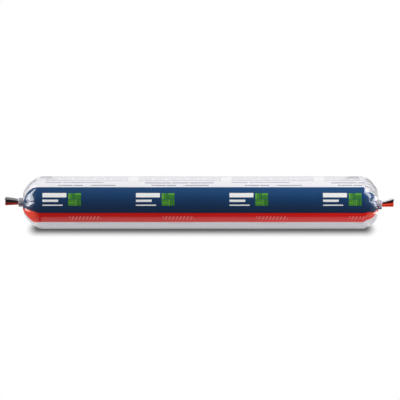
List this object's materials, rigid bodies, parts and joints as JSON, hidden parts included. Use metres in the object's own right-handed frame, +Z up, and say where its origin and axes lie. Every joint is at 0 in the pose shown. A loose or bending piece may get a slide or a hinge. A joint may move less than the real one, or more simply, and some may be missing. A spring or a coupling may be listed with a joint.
{
  "type": "flooring adhesive sausage pack",
  "caption": "Long round film pack filled with flooring adhesive, gathered into pleats at both ends and shut with crimped metal clips, lying on its side.",
  "frame": {"origin": "on the resting flat, below the middle of the whole length", "axes": "+X along the pack from the straight tail to the raised tail, +Z up, -Y towards the printed front"},
  "size_m": [0.3624, 0.0492, 0.0478],
  "materials": {
    "printed_film": "glossy printed foil laminate in white, dark blue and red bands",
    "clip_metal": "bare crimped strip, satin"
  },
  "bodies": {
    "root": {"filled_film_pack": "printed_film", "left_clip": "clip_metal", "right_clip": "clip_metal"}
  },
  "joints": []
}
